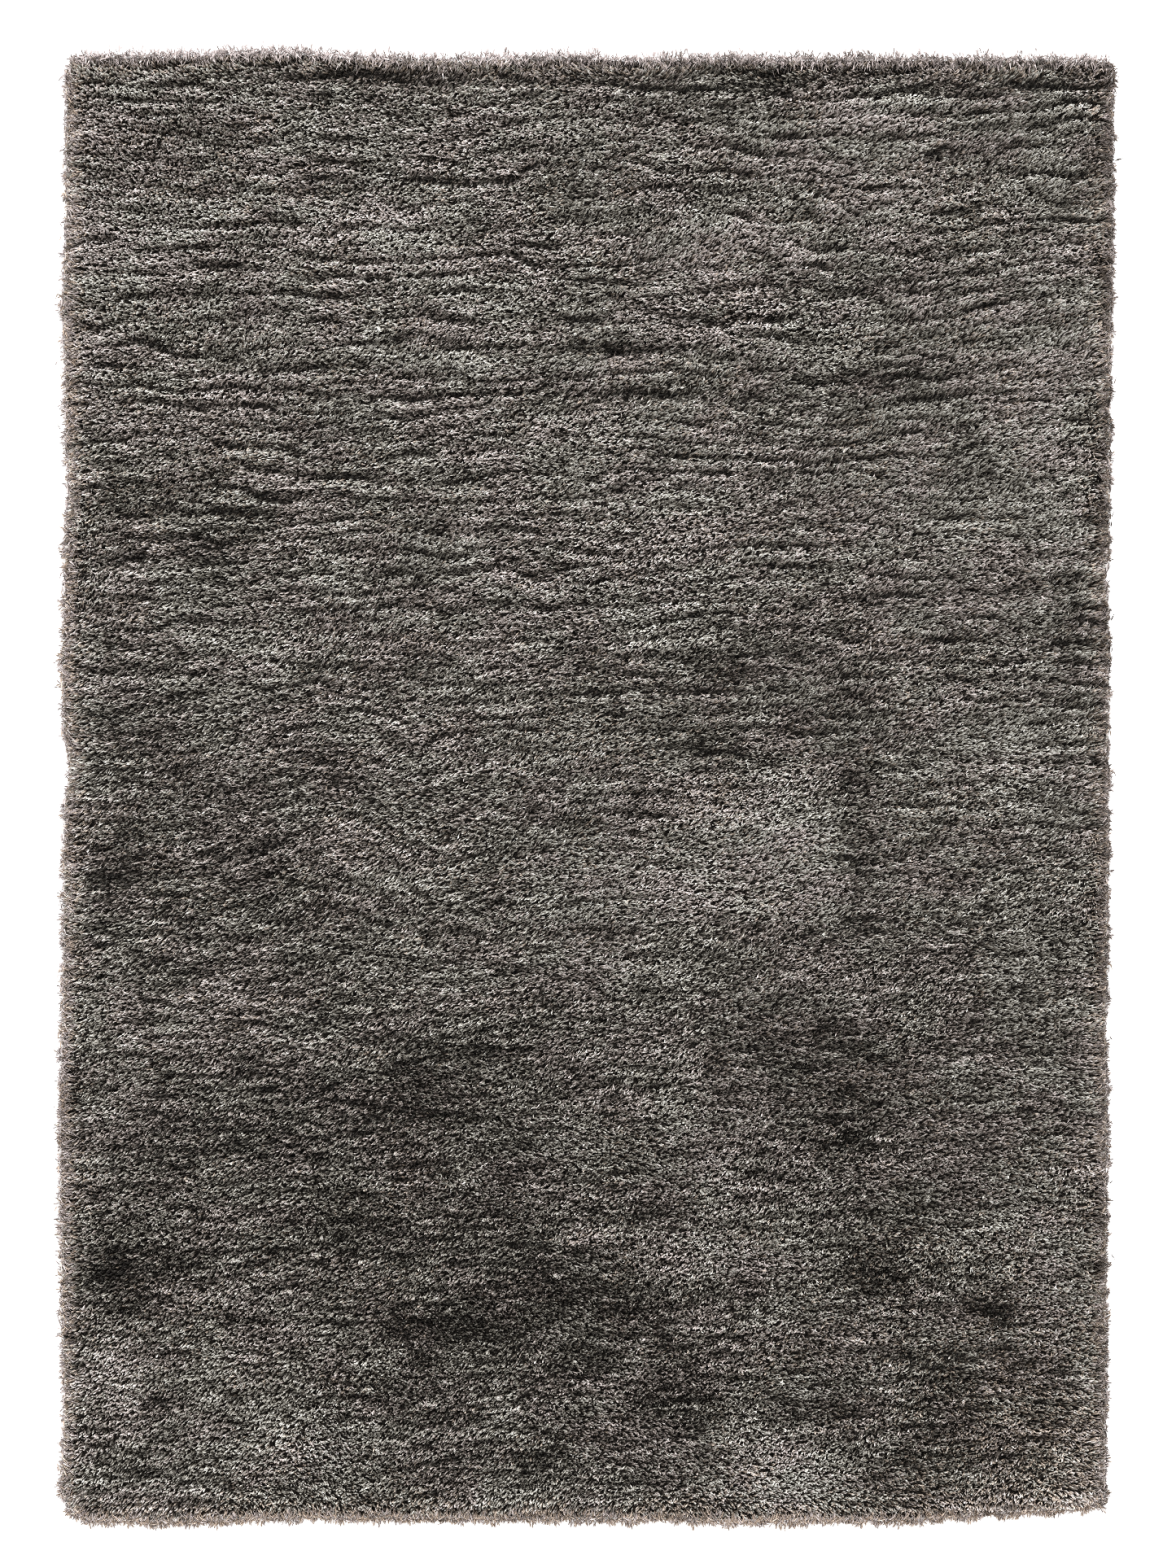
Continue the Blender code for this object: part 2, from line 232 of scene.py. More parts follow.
Furrow = namedtuple("Furrow", "x_from y_from x_to y_to bow depth")
FURROWS = [
    Furrow(-0.47, 1.186, 0.87, 1.181, 0.000, 0.006),
    Furrow(-0.76, 1.08, -0.38, 1.08, 0.000, 0.006),
    Furrow(-0.75, 1.00, -0.49, 1.00, 0.000, 0.007),
    Furrow(-0.48, 1.00, -0.03, 1.00, 0.006, 0.008),
    Furrow(-0.10, 0.95, 0.12, 0.96, 0.000, 0.006),
    Furrow(-0.83, 0.87, -0.53, 0.89, 0.006, 0.006),
    Furrow(0.18, 0.83, 0.31, 0.85, 0.000, 0.007),
    Furrow(0.41, 0.82, 0.56, 0.84, 0.000, 0.007),
    Furrow(-0.78, 0.72, -0.53, 0.73, 0.000, 0.006),
    Furrow(-0.23, 0.74, 0.15, 0.73, 0.004, 0.009),
    Furrow(-0.04, 0.78, 0.19, 0.78, 0.010, 0.007),
    Furrow(-0.66, 0.63, -0.24, 0.65, 0.012, 0.008),
    Furrow(-0.18, 0.67, 0.31, 0.65, 0.000, 0.009),
    Furrow(0.43, 0.68, 0.72, 0.71, 0.000, 0.008),
    Furrow(-0.83, 0.56, -0.63, 0.58, 0.000, 0.005),
    Furrow(-0.44, 0.52, -0.19, 0.52, 0.000, 0.004),
    Furrow(-0.83, 0.45, -0.56, 0.46, 0.000, 0.004),
    Furrow(-0.83, 0.37, -0.63, 0.40, 0.000, 0.005),
    Furrow(-0.22, 0.42, -0.03, 0.44, 0.000, 0.006),
    Furrow(0.38, 0.31, 0.78, 0.34, -0.006, 0.008),
    Furrow(-0.27, 0.21, 0.00, 0.29, 0.000, 0.006),
    Furrow(-0.11, 0.16, 0.25, 0.17, -0.008, 0.007),
    Furrow(0.25, 0.17, 0.38, 0.31, 0.000, 0.006),
    Furrow(-0.81, 0.12, -0.60, 0.17, 0.000, 0.007),
    Furrow(0.10, 0.07, 0.29, 0.08, 0.000, 0.005),
    Furrow(-0.83, -0.16, -0.66, -0.15, 0.000, 0.008),
    Furrow(-0.62, -0.12, -0.49, 0.00, 0.000, 0.005),
    Furrow(-0.40, -0.10, -0.22, -0.23, 0.000, 0.005),
    Furrow(-0.11, -0.24, 0.49, -0.23, 0.000, 0.007),
    Furrow(0.445, 0.06, 0.455, -0.22, 0.000, 0.003),
    Furrow(-0.40, -0.43, -0.10, -0.45, 0.000, 0.006),
    Furrow(0.49, -0.44, 0.85, -0.44, 0.000, 0.005),
    Furrow(0.00, -0.73, 0.15, -0.72, 0.000, 0.006),
    Furrow(0.27, -0.73, 0.47, -0.71, 0.000, 0.006),
    Furrow(0.51, -0.947, 0.69, -0.945, 0.000, 0.012),
]

# Patches where the nap lies another way and looks lighter, above 0, or darker. The first three are
# painted shade, in a dark band along the rug's upper end.
Patch = namedtuple("Patch", "x y half_width half_length tone")
PATCHES = [
    Patch(0.15, 1.180, 0.62, 0.034, -0.35),
    Patch(0.78, 1.185, 0.12, 0.030, -0.45),
    Patch(0.50, 1.255, 0.38, 0.022, -0.90),
    Patch(0.46, 1.13, 0.12, 0.03, 0.60),
    Patch(0.33, -0.07, 0.10, 0.10, 0.45),
    Patch(0.37, -0.13, 0.07, 0.07, 0.20),
    Patch(0.15, -0.12, 0.15, 0.08, 0.25),
    Patch(-0.32, 0.92, 0.07, 0.05, 0.45),
    Patch(-0.44, 0.96, 0.08, 0.05, 0.35),
    Patch(0.28, 0.93, 0.18, 0.05, 0.40),
    Patch(0.75, 0.60, 0.09, 0.16, 0.40),
    Patch(0.73, 0.05, 0.08, 0.10, 0.35),
    Patch(0.18, 0.49, 0.14, 0.05, 0.30),
    Patch(0.51, 1.00, 0.06, 0.09, 0.25),
    Patch(-0.72, 0.95, 0.11, 0.08, 0.15),
    Patch(-0.86, 1.02, 0.04, 0.08, -0.15),
    Patch(-0.48, 0.25, 0.14, 0.02, 0.45),
    Patch(-0.39, -0.09, 0.05, 0.04, 0.40),
    Patch(-0.32, -0.18, 0.06, 0.04, 0.20),
    Patch(-0.31, -0.34, 0.08, 0.04, 0.35),
    Patch(0.74, -0.74, 0.11, 0.04, 0.45),
    Patch(0.24, -0.79, 0.12, 0.05, 0.75),
    Patch(0.71, -1.07, 0.04, 0.06, 0.40),
    Patch(0.63, 0.42, 0.14, 0.05, 0.35),
    Patch(0.00, -0.31, 0.07, 0.05, 0.35),
    Patch(0.345, -1.16, 0.085, 0.05, 1.20),
    Patch(0.52, -1.05, 0.05, 0.06, 0.35),
    Patch(0.06, 0.60, 0.12, 0.035, 0.45),
    Patch(0.74, 0.90, 0.12, 0.035, 0.40),
    Patch(0.82, -1.16, 0.05, 0.06, 0.60),
    Patch(-0.50, -1.10, 0.16, 0.07, 0.40),
    Patch(0.16, -0.63, 0.10, 0.05, 0.25),
    Patch(-0.47, -0.57, 0.21, 0.11, -0.65),
    Patch(-0.22, -0.49, 0.18, 0.09, -0.45),
    Patch(-0.61, -0.79, 0.07, 0.08, -0.45),
    Patch(-0.29, -1.13, 0.09, 0.11, -0.45),
    Patch(0.08, -0.88, 0.12, 0.08, -0.30),
    Patch(0.45, -0.74, 0.28, 0.12, -0.25),
    Patch(0.24, 0.08, 0.08, 0.05, -0.40),
    Patch(0.85, 0.24, 0.05, 0.07, -0.45),
    Patch(0.86, 0.61, 0.05, 0.07, -0.40),
    Patch(0.86, 0.46, 0.04, 0.06, -0.35),
    Patch(-0.80, 0.90, 0.06, 0.05, 0.40),
    Patch(-0.45, -1.10, 0.06, 0.08, 0.50),
    Patch(0.58, 0.59, 0.06, 0.05, 0.25),
    Patch(-0.55, 0.75, 0.05, 0.08, 0.25),
    Patch(-0.23, 1.14, 0.14, 0.03, 0.25),
    Patch(0.44, -0.19, 0.10, 0.04, 0.25),
    Patch(-0.41, 0.30, 0.06, 0.07, 0.22),
    Patch(0.48, 0.24, 0.08, 0.06, 0.22),
    Patch(-0.70, -0.51, 0.08, 0.05, -0.25),
    Patch(-0.32, -0.54, 0.09, 0.05, 0.25),
    Patch(-0.38, -0.04, 0.06, 0.04, -0.25),
    Patch(-0.38, 1.195, 0.25, 0.020, -0.40),
    Patch(0.33, -1.20, 0.07, 0.05, 0.40),
    Patch(0.80, -0.60, 0.08, 0.05, 0.35),
    Patch(-0.62, 0.43, 0.05, 0.09, -0.30),
    Patch(-0.85, -0.95, 0.03, 0.08, -0.30),
    Patch(-0.84, 0.43, 0.04, 0.08, 0.30),
    Patch(-0.33, 0.70, 0.08, 0.04, 0.32),
    Patch(0.78, -0.85, 0.07, 0.06, 0.30),
    Patch(0.60, -1.12, 0.06, 0.07, 0.40),
    Patch(-0.38, -0.37, 0.07, 0.05, -0.38),
    Patch(-0.33, -0.19, 0.04, 0.05, -0.30),
    Patch(0.11, -0.13, 0.06, 0.04, -0.27),
    Patch(-0.14, -0.40, 0.10, 0.06, -0.27),
    Patch(-0.74, 1.14, 0.05, 0.05, 0.27),
    Patch(-0.64, 0.94, 0.06, 0.04, 0.27),
    Patch(-0.17, -0.69, 0.06, 0.04, 0.25),
    Patch(0.17, -1.11, 0.08, 0.04, 0.35),
    Patch(-0.60, -1.06, 0.12, 0.08, -0.33),
    Patch(-0.69, -0.28, 0.06, 0.08, -0.33),
    Patch(-0.85, -1.19, 0.03, 0.03, -0.60),
    Patch(0.25, 0.03, 0.05, 0.06, -0.32),
    Patch(0.15, 0.93, 0.055, 0.06, 0.32),
    Patch(-0.44, 0.06, 0.12, 0.05, -0.30),
    Patch(0.70, -1.00, 0.08, 0.09, 0.28),
    Patch(-0.44, -0.91, 0.05, 0.05, -0.40),
    Patch(-0.06, -0.94, 0.06, 0.06, 0.40),
    Patch(-0.74, 0.25, 0.08, 0.05, -0.35),
    Patch(0.01, -0.41, 0.06, 0.04, -0.40),
    Patch(-0.77, -1.02, 0.05, 0.07, 0.40),
    Patch(0.17, -0.48, 0.07, 0.05, 0.35),
    Patch(0.86, -0.74, 0.04, 0.08, -0.40),
    Patch(-0.05, -1.17, 0.08, 0.06, -0.35),
    Patch(-0.33, -1.02, 0.06, 0.04, 0.15),
    Patch(-0.24, -1.00, 0.05, 0.06, -0.25),
    Patch(0.65, -0.15, 0.09, 0.03, 0.30),
    Patch(-0.64, -1.19, 0.07, 0.04, -0.33),
    Patch(-0.84, -1.11, 0.04, 0.04, 0.33),
    Patch(-0.80, -0.71, 0.07, 0.05, -0.30),
    Patch(0.10, 0.30, 0.16, 0.09, 0.20),
    Patch(-0.36, 1.20, 0.09, 0.03, -0.40),
    Patch(0.86, 1.06, 0.04, 0.05, -0.40),
    Patch(-0.64, -0.16, 0.12, 0.06, -0.35),
    Patch(-0.80, -0.28, 0.10, 0.05, -0.30),
    Patch(-0.20, -0.75, 0.12, 0.08, -0.30),
    Patch(-0.74, -0.62, 0.12, 0.06, -0.30),
    Patch(-0.78, -0.81, 0.08, 0.07, -0.90),
    Patch(-0.38, -0.75, 0.10, 0.08, -0.40),
    Patch(-0.14, -0.88, 0.20, 0.17, -0.55),
    Patch(0.15, -1.02, 0.08, 0.06, -0.60),
    Patch(0.44, -0.567, 0.08, 0.07, -0.55),
    Patch(0.33, -0.46, 0.18, 0.11, -0.20),
    Patch(0.49, -0.82, 0.06, 0.03, -0.90),
    Patch(0.69, -0.875, 0.045, 0.025, -1.15),
    Patch(0.655, -1.04, 0.12, 0.09, -0.25),
    Patch(-0.72, -1.04, 0.04, 0.10, -0.40),
    Patch(0.450, 0.10, 0.035, 0.18, -0.40),
    Patch(-0.66, 0.45, 0.18, 0.09, -0.35),
    Patch(0.25, 0.22, 0.14, 0.06, -0.45),
    Patch(0.64, 0.90, 0.20, 0.07, -0.30),
    Patch(0.51, 0.69, 0.16, 0.03, -0.45),
    Patch(-0.79, -0.14, 0.07, 0.06, -0.55),
    Patch(-0.74, 0.09, 0.10, 0.10, -0.50),
    Patch(-0.16, -0.19, 0.04, 0.035, -0.60),
    Patch(-0.53, -0.25, 0.12, 0.16, -0.30),
    Patch(0.45, -0.25, 0.12, 0.03, -0.40),
]

# Patches with a crisp edge, where the nap was brushed.
Panel = namedtuple("Panel", "x_from x_to y_from y_to tone")
PANEL_EDGE = 0.016  # width of such an edge
PANEL_WAVER = Unevenness(0.010, 0.03, 0.02, 42)
PANELS = [
    Panel(0.53, 0.79, -1.15, -0.945, -0.30),
    Panel(0.430, 0.49, -0.24, 0.08, -0.15),
    Panel(-0.10, 0.42, -0.235, -0.10, 0.25),
    Panel(0.18, 0.42, -0.10, 0.04, 0.25),
    Panel(-0.86, -0.70, -0.88, -0.77, -0.15),
]

# Where the ripples run up to the right, above 0, or down to it, as a slope.
Turn = namedtuple("Turn", "x y half_width half_length slope")
TURNS = [
    Turn(-0.60, -0.05, 0.22, 0.20, 0.35),
    Turn(-0.34, -0.14, 0.13, 0.12, -0.55),
    Turn(-0.20, 0.02, 0.12, 0.09, 0.40),
    Turn(0.62, 0.90, 0.24, 0.22, 0.20),
]

# Where a side bulges out of true, or is drawn in. Along is X or Y, and out is outwards.
Swell = namedtuple("Swell", "side along half_length out")
SIDE_SWELLS = [
    Swell("left", 0.81, 0.13, 0.004),
    Swell("left", 0.51, 0.11, -0.007),
    Swell("left", 0.23, 0.16, 0.004),
    Swell("left", 0.03, 0.08, -0.010),
    Swell("left", -0.55, 0.30, 0.004),
    Swell("left", -1.04, 0.16, -0.005),
    Swell("right", 1.05, 0.45, 0.004),
    Swell("right", 0.35, 0.06, -0.007),
    Swell("right", -0.42, 0.14, -0.003),
    Swell("top", -0.55, 0.19, 0.008),
    Swell("top", -0.25, 0.15, -0.005),
    Swell("top", 0.10, 0.10, -0.004),
    Swell("bottom", -0.71, 0.26, 0.008),
    Swell("bottom", 0.26, 0.18, 0.003),
    Swell("bottom", 0.85, 0.35, -0.019),
]
CORNER_RADII = {(-1, 1): 0.034, (1, 1): 0.018, (-1, -1): 0.055, (1, -1): 0.052}


# ---- Where the pile lies ----
def soft_bump(distance):
    """1 at distance 0, falling smoothly to 0 at distance 1."""
    return 0.5 + 0.5 * np.cos(np.pi * np.clip(np.abs(distance), 0, 1))


def spot(place, x, y):
    """1 in the middle of a place, falling smoothly towards 0 beyond its half width and length."""
    away = np.hypot((x - place.x) / place.half_width, (y - place.y) / place.half_length)
    return np.exp(-(away**2))


def drift(x, y, kind):
    """Smooth seeded unevenness of one kind, up and down by its height."""
    cells = 512
    heights = np.random.default_rng(kind.seed).uniform(-1, 1, (cells, cells))
    across, along = x / kind.size_x + cells / 2, y / kind.size_y + cells / 2
    column, row = np.floor(across).astype(int), np.floor(along).astype(int)
    right, up = across - column, along - row
    right, up = right * right * (3 - 2 * right), up * up * (3 - 2 * up)
    column, row = column % cells, row % cells
    next_column, next_row = (column + 1) % cells, (row + 1) % cells
    low = heights[row, column] * (1 - right) + heights[row, next_column] * right
    high = heights[next_row, column] * (1 - right) + heights[next_row, next_column] * right
    return kind.height * (low * (1 - up) + high * up)


def from_rim(x, y):
    """How far points lie inside the true rectangle of the pile."""
    return np.minimum(HALF_WIDTH - np.abs(x), HALF_LENGTH - np.abs(y))


def side_out(side, along):
    """How far a side lies out of true at places along it."""
    rows = [row for row in SIDE_SWELLS if row.side == side]
    return sum(row.out * soft_bump((along - row.along) / row.half_length) for row in rows)


def into_outline(x, y):
    """Move points of a true rectangle to their places in the rug's rounded, uneven outline."""
    across, along = x / HALF_WIDTH, y / HALF_LENGTH
    shift_x = side_out("right", y) * (1 + across) / 2 - side_out("left", y) * (1 - across) / 2
    shift_y = side_out("top", x) * (1 + along) / 2 - side_out("bottom", x) * (1 - along) / 2
    x, y = x + shift_x, y + shift_y
    for (side_x, side_y), radius in CORNER_RADII.items():
        from_x = side_x * x - (HALF_WIDTH - radius)
        from_y = side_y * y - (HALF_LENGTH - radius)
        near = (from_x > 0) & (from_y > 0)
        shrink = np.maximum(from_x, from_y) / np.maximum(np.hypot(from_x, from_y), TINY)
        x = np.where(near, side_x * (HALF_WIDTH - radius + from_x * shrink), x)
        y = np.where(near, side_y * (HALF_LENGTH - radius + from_y * shrink), y)
    return x, y


def furrow_shape(furrow, x, y):
    """One furrow and its ridge, from -1 in the furrow to the ridge's share of it."""
    run_x, run_y = furrow.x_to - furrow.x_from, furrow.y_to - furrow.y_from
    length = math.hypot(run_x, run_y)
    run_x, run_y = run_x / length, run_y / length
    away_x, away_y = x - furrow.x_from, y - furrow.y_from
    along = away_x * run_x + away_y * run_y
    past_end = np.maximum(np.maximum(-along, along - length), 0)
    bow = furrow.bow * np.sin(np.pi * np.clip(along / length, 0, 1))
    below = away_x * run_y - away_y * run_x + bow + drift(x, y, FURROW_WAVER)
    trough = -soft_bump(below / (2 * FURROW_HALF_WIDTH))
    ridge = RIDGE_SHARE * soft_bump((below - RIDGE_AWAY) / (2 * RIDGE_HALF_WIDTH))
    return (trough + ridge) * soft_bump(past_end / FURROW_FADE)


def furrows(x, y):
    """Height that the furrows and their ridges add."""
    return sum(furrow.depth * furrow_shape(furrow, x, y) for furrow in FURROWS)


def off_faint_strip(y):
    """1 away from the strip where the ripples are fainter, less inside it."""
    return 1 - FAINT_SHARE * soft_bump((y - FAINT_Y) / FAINT_HALF_LENGTH)


def ripples(x, y):
    """The combed ripples, from a trough below 0 to a crest above it, weaker down the rug."""
    share = np.clip((y - RIPPLE_END) / (RIPPLE_START - RIPPLE_END), 0, 1)
    strength = RIPPLE_WEAKEST + (1 - RIPPLE_WEAKEST) * share
    for turn in TURNS:
        y = y - turn.slope * (x - turn.x) * spot(turn, x, y)
    wave = np.log(1 + RIPPLE_WIDENING * y) * 2 * np.pi / RIPPLE_PITCH / RIPPLE_WIDENING
    wave += drift(x, y, RIPPLE_WANDER) + drift(x, y, RIPPLE_WAVER)
    rolls = RIPPLE_TROUGH + RIPPLE_ROLL * np.abs(np.cos(wave / 2)) ** RIPPLE_SHARPNESS
    strength *= np.clip(RIPPLE_USUAL + drift(x, y, RIPPLE_BREAKS), *RIPPLE_LIMITS)
    return strength * off_faint_strip(y) * rolls + drift(x, y, RIPPLE_CRUMBS)


def facing_light(x, y):
    """How far the ripples' sides face up the rug, where the light comes from."""
    step = 0.003
    return (ripples(x, y - step) - ripples(x, y + step)) / 2


def pile_height(x, y):
    """Height of the tips over the floor."""
    full = np.sin(np.pi / 2 * np.clip(from_rim(x, y) / ROLL_OFF, 0, 1))
    height = PILE_HEIGHT + RIPPLE_DEPTH * ripples(x, y) + furrows(x, y)
    return RIM_HEIGHT + (height - RIM_HEIGHT) * full


def foot_height(x, y):
    """Height of the pile's matted foot, which runs out thin under the rim."""
    share = 1 - soft_bump(from_rim(x, y) / FOOT_TAPER)
    return FOOT_EDGE_TOP + (FOOT_SHARE * pile_height(x, y) - FOOT_EDGE_TOP) * share


def upright(x, y):
    """How upright the tufts stand, from 0 where they lie over to 1."""
    low_end = UPRIGHT_LOW_END * np.clip((UPRIGHT_FROM - y) / UPRIGHT_FADE, 0, 1)
    return np.maximum(low_end, UPRIGHT_CORNER.most * spot(UPRIGHT_CORNER, x, y))


def clump_pull(x, y):
    """How far the tips at x, y shift towards the middle of their clump."""
    step = 0.001
    up_x = (drift(x + step, y, CLUMPS) - drift(x - step, y, CLUMPS)) / (2 * step)
    up_y = (drift(x, y + step, CLUMPS) - drift(x, y - step, CLUMPS)) / (2 * step)
    steepest = np.maximum(np.hypot(up_x, up_y), 1 / CLUMPS.size_y)
    return CLUMP_DRAW * up_x / steepest, CLUMP_DRAW * up_y / steepest


# ---- How the pile looks from place to place ----
def warm(x, y):
    """How beige the pile is, from 0 to 1: most at its rim and its lower right corner."""
    corner = WARM_CORNER.most * spot(WARM_CORNER, x, y)
    rim = soft_bump(from_rim(x, y) / WARM_RIM)
    return np.clip(np.maximum(rim, corner) + drift(x, y, WARM_UNEVEN), 0, 1)


def panel_tone(x, y):
    """The tone of the patches with a crisp edge, spread over their places."""
    total = np.zeros_like(x)
    waver = drift(x, y, PANEL_WAVER)
    for panel in PANELS:
        inside_x = np.minimum(x - panel.x_from, panel.x_to - x)
        inside_y = np.minimum(y - panel.y_from, panel.y_to - y)
        inside = np.minimum(inside_x, inside_y) + waver
        total += panel.tone * np.clip(inside / PANEL_EDGE + 0.5, 0, 1)
    return total


def nap_tone_and_painted_light(x, y):
    """How light the nap looks, 0 on average, with painted light and shade over its ripples and
    furrows.
    """
    patch_tone = sum(patch.tone * spot(patch, x, y) for patch in PATCHES)
    tone = TONE_PATCHES * (patch_tone + panel_tone(x, y))
    tone += drift(x, y, TONE_CLOUDS) + drift(x, y, TONE_STREAKS)
    tone += drift(x, y, TONE_MOTTLE) * np.clip(TONE_MOTTLE_FROM - y, 0, 1) * off_faint_strip(y)
    # Painted light on crests and on sides facing the light; painted shade in troughs and furrows.
    tone += PAINTED_LIGHT_CREST * ripples(x, y) + PAINTED_LIGHT_FACING * facing_light(x, y)
    tone += PAINTED_SHADE_FURROWS * furrows(x, y)
    inside = np.minimum(HALF_WIDTH - np.abs(x), HALF_LENGTH + y)
    tone += TONE_RIM_STRIP * soft_bump((inside - TONE_RIM_STRIP_AWAY) / TONE_RIM_STRIP_HALF_WIDTH)
    return tone + TONE_UP_RUG * np.clip(y / HALF_LENGTH, -1, 1) + UPRIGHT_TONE * upright(x, y)


# ---- Materials ----
def linear(hex_colour):
    """An sRGB hex colour as linear red, green, blue and alpha."""
    parts = [int(hex_colour[i : i + 2], 16) / 255 for i in (1, 3, 5)]
    return [p / 12.92 if p <= 0.04045 else ((p + 0.055) / 1.055) ** 2.4 for p in parts] + [1.0]


def add_node(tree, kind, settings=(), sockets=(), links=(), stops=()):
    """Add a node, with its properties, socket values, incoming links and colour stops."""
    node = tree.nodes.new(kind)
    for name, value in dict(settings).items():
        setattr(node, name, value)
    for name, value in dict(sockets).items():
        node.inputs[name].default_value = value
    for name, output in dict(links).items():
        tree.links.new(output, node.inputs[name])
    for number, (place, colour) in enumerate(stops):
        ramp = node.color_ramp.elements
        stop = ramp[number] if number < 2 else ramp.new(place)
        stop.position = place
        stop.color = linear(colour)
    return node


def new_material(name, roughness, specular):
    """A Principled material with its constants, and its tree and shader."""
    material = bpy.data.materials.new(name)
    material.use_nodes = True
    tree = material.node_tree
    shader = tree.nodes["Principled BSDF"]
    shader.inputs["Roughness"].default_value = roughness
    shader.inputs["Specular IOR Level"].default_value = specular
    return material, tree, shader


def colour_and_bump(tree, shader, height, stops, strength, distance):
    """Colour a surface by a pattern's height, and raise it by that height."""
    colour = add_node(tree, "ShaderNodeValToRGB", links={0: height}, stops=stops)
    settings = {"Strength": strength, "Distance": distance}
    bump = add_node(tree, "ShaderNodeBump", sockets=settings, links={"Height": height})
    tree.links.new(colour.outputs[0], shader.inputs["Base Color"])
    tree.links.new(bump.outputs[0], shader.inputs["Normal"])


# The yarn's shades, from its darkest strand to its palest. U picks a tuft's shade.
YARN_SHADES = [
    (0.00, "#23211f"),
    (0.16, "#46433f"),
    (0.32, "#6b6761"),
    (0.46, "#8a857f"),
    (0.60, "#a5a19b"),
    (0.74, "#bcb8b3"),
    (0.88, "#cfccc8"),
    (1.00, "#e1dfdc"),
]
# Painted shade along a tuft, from its dark foot at 0 to the full colour of its tip at 1.
PAINTED_SHADE_FOOT_TO_TIP = [
    (0.00, "#15110e"),
    (0.16, "#625a52"),
    (0.36, "#bdb7b0"),
    (0.60, "#ffffff"),
]
# V holds one such length for each of the melange's hues, one after another.
YARN_HUES = ["#feffff", "#fff9fb", "#fbfefb", "#fff3e9"]
GREY, ROSE, OLIVE, BEIGE = range(len(YARN_HUES))
SHADE_MARGIN = 0.01  # keeps a tuft's U inside the shades
SHADE_STRIP = 0.004  # the half width that a yarn end takes up in U
HUE_MARGIN = 0.02  # keeps its V inside its own hue's length


def shag_yarn():
    """Heat-set polyester yarn, spun and cut, evenly silky; painted shade darkens each end's foot
    and sides and leaves its tip pale.
    """
    material, tree, shader = new_material("heat_set_polyester_yarn", roughness=0.50, specular=0.5)
    place = add_node(tree, "ShaderNodeUVMap", {"uv_map": "OFBake"})
    axes = add_node(tree, "ShaderNodeSeparateXYZ", links={0: place.outputs[0]})
    across, up = axes.outputs["X"], axes.outputs["Y"]
    multiply = {"operation": "MULTIPLY"}
    lengths = add_node(tree, "ShaderNodeMath", multiply, {1: len(YARN_HUES)}, {0: up})
    along = add_node(tree, "ShaderNodeMath", {"operation": "FRACT"}, links={0: lengths.outputs[0]})
    shade = add_node(tree, "ShaderNodeValToRGB", links={0: across}, stops=YARN_SHADES)
    # Painted shade, darker towards each end's foot and sides.
    depth = add_node(tree, "ShaderNodeValToRGB", links={0: along.outputs[0]}, stops=PAINTED_SHADE_FOOT_TO_TIP)
    hue_stops = [(number / len(YARN_HUES), colour) for number, colour in enumerate(YARN_HUES)]
    hue = add_node(tree, "ShaderNodeValToRGB", links={0: up}, stops=hue_stops)
    hue.color_ramp.interpolation = "CONSTANT"
    blend = {"data_type": "RGBA", "blend_type": "MULTIPLY"}
    colour = shade.outputs[0]
    for factor in (depth, hue):
        parts = {6: colour, 7: factor.outputs[0]}
        colour = add_node(tree, "ShaderNodeMix", blend, {0: 1.0}, parts).outputs[2]
    tree.links.new(colour, shader.inputs["Base Color"])
    return material


def matted_yarn_painted_shade():
    """The matted foot of the pile: the same yarn, packed tight, coloured near black as painted deep
    shade.
    """
    material, tree, shader = new_material("matted_yarn_foot_in_painted_shade", roughness=0.9, specular=0.2)
    place = add_node(tree, "ShaderNodeTexCoord")
    strands_per_metre = 260.0
    size = {"Scale": strands_per_metre, "Detail": 2.0}
    strands = add_node(tree, "ShaderNodeTexNoise", sockets=size, links={0: place.outputs["Object"]})
    # Painted deep shade: near black, for the shadow between the tufts.
    stops = [(0.40, "#040303"), (0.66, "#3c3733")]
    colour_and_bump(tree, shader, strands.outputs[0], stops, strength=0.8, distance=0.002)
    return material


def woven_ground():
    """Plain-woven polypropylene ground cloth: flat pale tapes, over and under."""
    material, tree, shader = new_material("woven_polypropylene_ground", roughness=0.6, specular=0.4)
    place = add_node(tree, "ShaderNodeTexCoord")
    tape_pitch = 0.0042
    bands = {
        "Scale": math.pi / (10 * tape_pitch),
        "Distortion": 0.6,
        "Detail": 1.0,
        "Detail Scale": 0.4,
    }
    tapes = []
    for direction in ("X", "Y"):
        settings = {"wave_type": "BANDS", "bands_direction": direction, "wave_profile": "SIN"}
        wave = add_node(tree, "ShaderNodeTexWave", settings, bands, {0: place.outputs["Object"]})
        tapes.append(wave.outputs[1])
    crossing = {0: tapes[0], 1: tapes[1]}
    weave = add_node(tree, "ShaderNodeMath", {"operation": "MULTIPLY"}, links=crossing)
    stops = [(0.0, "#6f675b"), (0.6, "#b9b1a3")]
    colour_and_bump(tree, shader, weave.outputs[0], stops, strength=0.6, distance=0.0008)
    return material


def white_floor():
    """A matt white studio floor, lit so evenly that it shows no edge."""
    material, tree, shader = new_material("matt_white_floor", roughness=0.9, specular=0.1)
    shader.inputs["Base Color"].default_value = linear("#f4f4f4")
    shader.inputs["Emission Color"].default_value = linear("#ffffff")
    shader.inputs["Emission Strength"].default_value = 0.30
    return material


# ---- Pieces ----
def add_piece(name, mesh, material):
    """Put a finished mesh in the scene, riding on the rug's body in place of its plain solid."""
    piece = bpy.data.objects.new(name, mesh)
    bpy.context.scene.collection.objects.link(piece)
    mesh.materials.append(material)
    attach(piece, BODY)
    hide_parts(NODE)
    return piece


def mesh_of(name, bm):
    """A mesh made of a bmesh, which is freed."""
    mesh = bpy.data.meshes.new(name)
    bm.to_mesh(mesh)
    bm.free()
    return mesh


